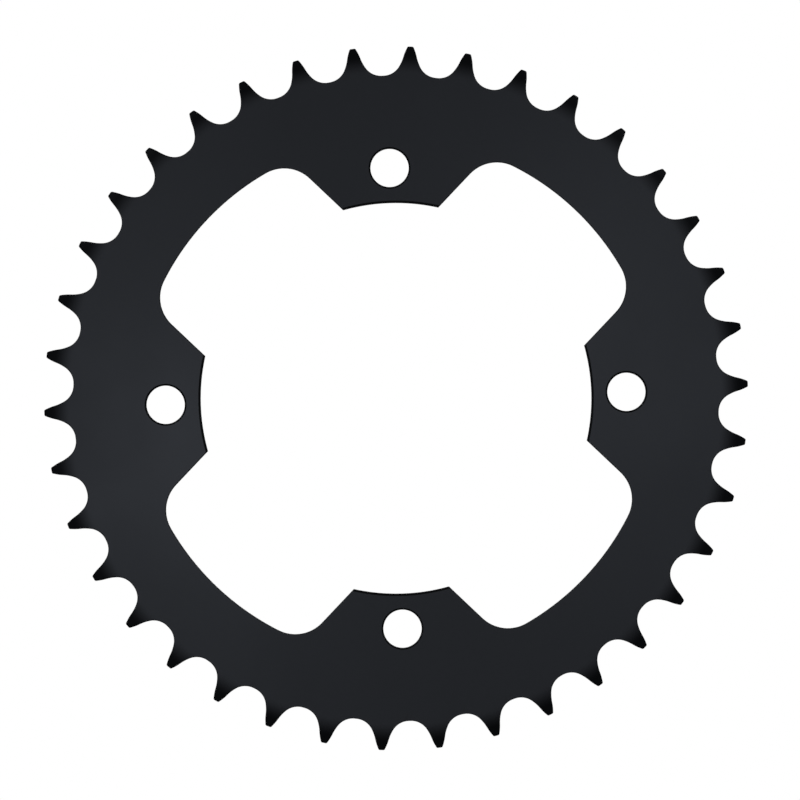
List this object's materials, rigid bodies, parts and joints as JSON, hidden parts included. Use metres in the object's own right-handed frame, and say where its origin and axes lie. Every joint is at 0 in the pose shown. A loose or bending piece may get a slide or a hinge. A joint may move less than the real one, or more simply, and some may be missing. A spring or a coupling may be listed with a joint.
{
  "type": "sprocket",
  "caption": "Flat steel rear sprocket for a roller chain, with an open hub, lugs with bolt holes and large windows.",
  "frame": {"origin": "on the axis of rotation, half way through the plate's thickness", "axes": "+Y along the axis, away from the outer face, which looks along -Y; +X from the axis to one bolt hole and +Z from the axis to the next, straight up"},
  "size_m": [0.1986, 0.006, 0.1982],
  "materials": {
    "black_steel": "thin satin black coat over machined and pressed steel"
  },
  "bodies": {
    "root": {"sprocket_plate": "black_steel"}
  },
  "joints": []
}
